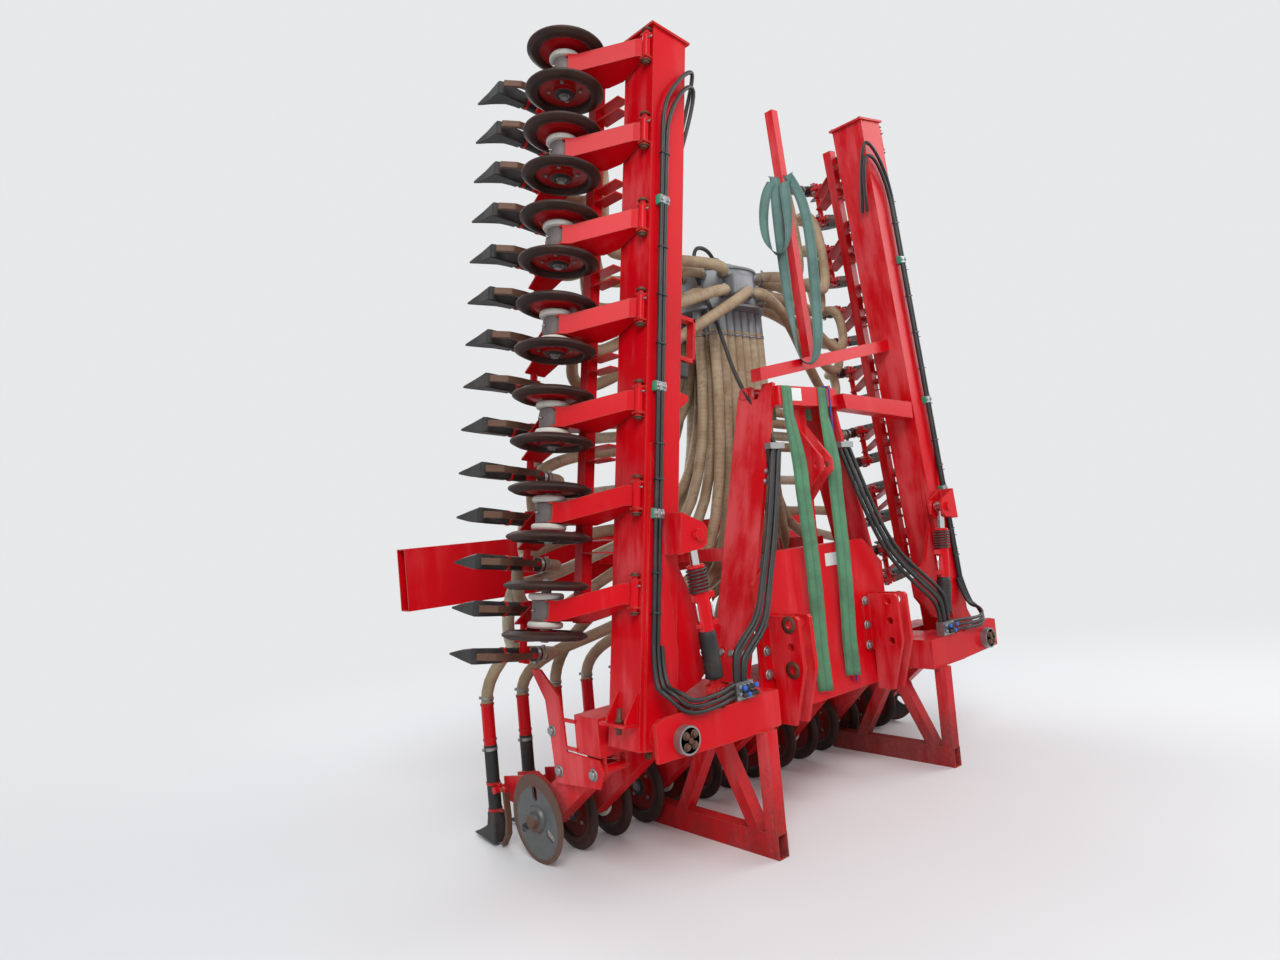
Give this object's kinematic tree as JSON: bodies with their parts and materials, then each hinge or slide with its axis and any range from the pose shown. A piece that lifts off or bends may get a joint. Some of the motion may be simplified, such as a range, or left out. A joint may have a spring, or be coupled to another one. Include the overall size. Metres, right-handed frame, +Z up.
{
  "type": "slurry injector",
  "caption": "Three-point mounted trailing-shoe slurry injector with wedge press wheels on folding wings, parked on its stands",
  "frame": {"origin": "on the floor below the middle of the machine's bounding box, in the plane midway between the wings", "axes": "X along the working width with the machine's left side at +X, Y to the rear, Z up"},
  "size_m": [3.1642, 1.518, 3.4275],
  "materials": {
    "red_paint": "worn red paint",
    "disc_steel": "dark rusty steel",
    "end_disc_steel": "grey with a rusty rim",
    "steel": "bright steel",
    "galvanised": "dull galvanised",
    "black_rubber": "matt black",
    "chrome_rod": "polished",
    "cylinder_paint": "red paint",
    "tan_hose": "dusty ribbed rubber",
    "webbing": "woven webbing",
    "rope_fibre": "braided rope"
  },
  "bodies": {
    "frame": {"main_frame": "red_paint", "front_panel": "red_paint", "lower_link_brackets": "red_paint", "headstock": "red_paint", "top_link_bracket": "red_paint", "hinge_pins": "steel", "parking_stands": "red_paint", "rear_board": "red_paint", "distributor": "galvanised", "distributor_mast": "galvanised", "centre_arms": "red_paint", "centre_shoes": "black_rubber", "wing_rest_arm": "red_paint", "frame_hoses": "black_rubber", "hose_blocks": "steel", "centre_hoses": "tan_hose", "lifting_slings": "webbing", "rope": "rope_fibre"},
    "right_end_disc_body": {"right_end_disc": "end_disc_steel"},
    "centre_wheels_2_body": {"centre_wheels_2": "disc_steel"},
    "centre_wheels_3_body": {"centre_wheels_3": "disc_steel"},
    "centre_wheels_4_body": {"centre_wheels_4": "disc_steel"},
    "centre_wheels_5_body": {"centre_wheels_5": "disc_steel"},
    "centre_wheels_6_body": {"centre_wheels_6": "disc_steel"},
    "centre_wheels_7_body": {"centre_wheels_7": "disc_steel"},
    "centre_wheels_8_body": {"centre_wheels_8": "disc_steel"},
    "left_end_disc_body": {"left_end_disc": "end_disc_steel"},
    "right_wing": {"right_wing_beam": "red_paint", "right_wing_arms": "red_paint", "right_wing_rail": "red_paint", "right_wing_shoes": "black_rubber", "right_wing_lines": "black_rubber", "right_wing_hoses": "tan_hose", "right_hinge_hoses": "black_rubber"},
    "right_barrel": {"right_cylinder_barrel": "cylinder_paint"},
    "right_rod": {"right_cylinder_rod": "chrome_rod"},
    "right_wing_wheels_1_body": {"right_wing_wheels_1": "disc_steel"},
    "right_wing_wheels_2_body": {"right_wing_wheels_2": "disc_steel"},
    "right_wing_wheels_3_body": {"right_wing_wheels_3": "disc_steel"},
    "right_wing_wheels_4_body": {"right_wing_wheels_4": "disc_steel"},
    "right_wing_wheels_5_body": {"right_wing_wheels_5": "disc_steel"},
    "right_wing_wheels_6_body": {"right_wing_wheels_6": "disc_steel"},
    "right_wing_wheels_7_body": {"right_wing_wheels_7": "disc_steel"},
    "left_wing": {"left_wing_beam": "red_paint", "left_wing_arms": "red_paint", "left_wing_rail": "red_paint", "left_wing_shoes": "black_rubber", "hose_guide": "red_paint", "left_wing_lines": "black_rubber", "left_wing_hoses": "tan_hose", "left_hinge_hoses": "black_rubber"},
    "left_barrel": {"left_cylinder_barrel": "cylinder_paint"},
    "left_rod": {"left_cylinder_rod": "chrome_rod"},
    "left_wing_wheels_1_body": {"left_wing_wheels_1": "disc_steel"},
    "left_wing_wheels_2_body": {"left_wing_wheels_2": "disc_steel"},
    "left_wing_wheels_3_body": {"left_wing_wheels_3": "disc_steel"},
    "left_wing_wheels_4_body": {"left_wing_wheels_4": "disc_steel"},
    "left_wing_wheels_5_body": {"left_wing_wheels_5": "disc_steel"},
    "left_wing_wheels_6_body": {"left_wing_wheels_6": "disc_steel"},
    "left_wing_wheels_7_body": {"left_wing_wheels_7": "disc_steel"}
  },
  "joints": [
    {"name": "right_end_disc_turn", "type": "hinge", "parent": "frame", "child": "right_end_disc_body", "pos_m": [-1.3125, 0.029, 0.182], "axis": [1, 0, 0], "continuous": true},
    {"name": "centre_wheels_2_turn", "type": "hinge", "parent": "frame", "child": "centre_wheels_2_body", "pos_m": [-1.03125, 0.029, 0.165], "axis": [1, 0, 0], "continuous": true},
    {"name": "centre_wheels_3_turn", "type": "hinge", "parent": "frame", "child": "centre_wheels_3_body", "pos_m": [-0.65625, 0.029, 0.165], "axis": [1, 0, 0], "continuous": true},
    {"name": "centre_wheels_4_turn", "type": "hinge", "parent": "frame", "child": "centre_wheels_4_body", "pos_m": [-0.28125, 0.029, 0.165], "axis": [1, 0, 0], "continuous": true},
    {"name": "centre_wheels_5_turn", "type": "hinge", "parent": "frame", "child": "centre_wheels_5_body", "pos_m": [0, 0.029, 0.165], "axis": [1, 0, 0], "continuous": true},
    {"name": "centre_wheels_6_turn", "type": "hinge", "parent": "frame", "child": "centre_wheels_6_body", "pos_m": [0.28125, 0.029, 0.165], "axis": [1, 0, 0], "continuous": true},
    {"name": "centre_wheels_7_turn", "type": "hinge", "parent": "frame", "child": "centre_wheels_7_body", "pos_m": [0.65625, 0.029, 0.165], "axis": [1, 0, 0], "continuous": true},
    {"name": "centre_wheels_8_turn", "type": "hinge", "parent": "frame", "child": "centre_wheels_8_body", "pos_m": [1.03125, 0.029, 0.165], "axis": [1, 0, 0], "continuous": true},
    {"name": "left_end_disc_turn", "type": "hinge", "parent": "frame", "child": "left_end_disc_body", "pos_m": [1.3125, 0.029, 0.182], "axis": [1, 0, 0], "continuous": true},
    {"name": "right_fold", "type": "hinge", "parent": "frame", "child": "right_wing", "pos_m": [-1.144, -0.571, 0.573], "axis": [0, -1, 0], "range_deg": [0, 98.37], "deforming": ["right_wing_hoses", "right_hinge_hoses"]},
    {"name": "right_barrel_swing", "type": "hinge", "parent": "frame", "child": "right_barrel", "pos_m": [-0.88, -0.653, 0.69], "axis": [0, -1, 0], "range_deg": [0, 85.43]},
    {"name": "right_rod_slide", "type": "slide", "parent": "right_barrel", "child": "right_rod", "axis": [-0.1085, 0, 0.9941], "range_m": [0, 0.3996]},
    {"name": "right_wing_wheels_1_turn", "type": "hinge", "parent": "right_wing", "child": "right_wing_wheels_1_body", "pos_m": [-1.07057, -0.285, 3.29101], "axis": [0.1456, 0, 0.9893], "continuous": true},
    {"name": "right_wing_wheels_2_turn", "type": "hinge", "parent": "right_wing", "child": "right_wing_wheels_2_body", "pos_m": [-1.12516, -0.285, 2.92001], "axis": [0.1456, 0, 0.9893], "continuous": true},
    {"name": "right_wing_wheels_3_turn", "type": "hinge", "parent": "right_wing", "child": "right_wing_wheels_3_body", "pos_m": [-1.17974, -0.285, 2.549], "axis": [0.1456, 0, 0.9893], "continuous": true},
    {"name": "right_wing_wheels_4_turn", "type": "hinge", "parent": "right_wing", "child": "right_wing_wheels_4_body", "pos_m": [-1.23433, -0.285, 2.17799], "axis": [0.1456, 0, 0.9893], "continuous": true},
    {"name": "right_wing_wheels_5_turn", "type": "hinge", "parent": "right_wing", "child": "right_wing_wheels_5_body", "pos_m": [-1.28892, -0.285, 1.80699], "axis": [0.1456, 0, 0.9893], "continuous": true},
    {"name": "right_wing_wheels_6_turn", "type": "hinge", "parent": "right_wing", "child": "right_wing_wheels_6_body", "pos_m": [-1.3435, -0.285, 1.43598], "axis": [0.1456, 0, 0.9893], "continuous": true},
    {"name": "right_wing_wheels_7_turn", "type": "hinge", "parent": "right_wing", "child": "right_wing_wheels_7_body", "pos_m": [-1.39809, -0.285, 1.06498], "axis": [0.1456, 0, 0.9893], "continuous": true},
    {"name": "left_fold", "type": "hinge", "parent": "frame", "child": "left_wing", "pos_m": [1.144, -0.571, 0.573], "axis": [0, 1, 0], "range_deg": [0, 98.37], "deforming": ["left_wing_hoses", "left_hinge_hoses"]},
    {"name": "left_barrel_swing", "type": "hinge", "parent": "frame", "child": "left_barrel", "pos_m": [0.88, -0.653, 0.69], "axis": [0, 1, 0], "range_deg": [0, 85.43]},
    {"name": "left_rod_slide", "type": "slide", "parent": "left_barrel", "child": "left_rod", "axis": [0.1085, 0, 0.9941], "range_m": [0, 0.3996]},
    {"name": "left_wing_wheels_1_turn", "type": "hinge", "parent": "left_wing", "child": "left_wing_wheels_1_body", "pos_m": [1.07057, -0.285, 3.29101], "axis": [-0.1456, 0, 0.9893], "continuous": true},
    {"name": "left_wing_wheels_2_turn", "type": "hinge", "parent": "left_wing", "child": "left_wing_wheels_2_body", "pos_m": [1.12516, -0.285, 2.92001], "axis": [-0.1456, 0, 0.9893], "continuous": true},
    {"name": "left_wing_wheels_3_turn", "type": "hinge", "parent": "left_wing", "child": "left_wing_wheels_3_body", "pos_m": [1.17974, -0.285, 2.549], "axis": [-0.1456, 0, 0.9893], "continuous": true},
    {"name": "left_wing_wheels_4_turn", "type": "hinge", "parent": "left_wing", "child": "left_wing_wheels_4_body", "pos_m": [1.23433, -0.285, 2.17799], "axis": [-0.1456, 0, 0.9893], "continuous": true},
    {"name": "left_wing_wheels_5_turn", "type": "hinge", "parent": "left_wing", "child": "left_wing_wheels_5_body", "pos_m": [1.28892, -0.285, 1.80699], "axis": [-0.1456, 0, 0.9893], "continuous": true},
    {"name": "left_wing_wheels_6_turn", "type": "hinge", "parent": "left_wing", "child": "left_wing_wheels_6_body", "pos_m": [1.3435, -0.285, 1.43598], "axis": [-0.1456, 0, 0.9893], "continuous": true},
    {"name": "left_wing_wheels_7_turn", "type": "hinge", "parent": "left_wing", "child": "left_wing_wheels_7_body", "pos_m": [1.39809, -0.285, 1.06498], "axis": [-0.1456, 0, 0.9893], "continuous": true}
  ],
  "couplings": [
    {"joint": "right_barrel_swing", "follows": "right_fold", "ratio": 0.86795},
    {"joint": "right_rod_slide", "follows": "right_fold", "m_per_rad": 0.23219},
    {"joint": "left_barrel_swing", "follows": "left_fold", "ratio": 0.86795},
    {"joint": "left_rod_slide", "follows": "left_fold", "m_per_rad": 0.23219}
  ]
}
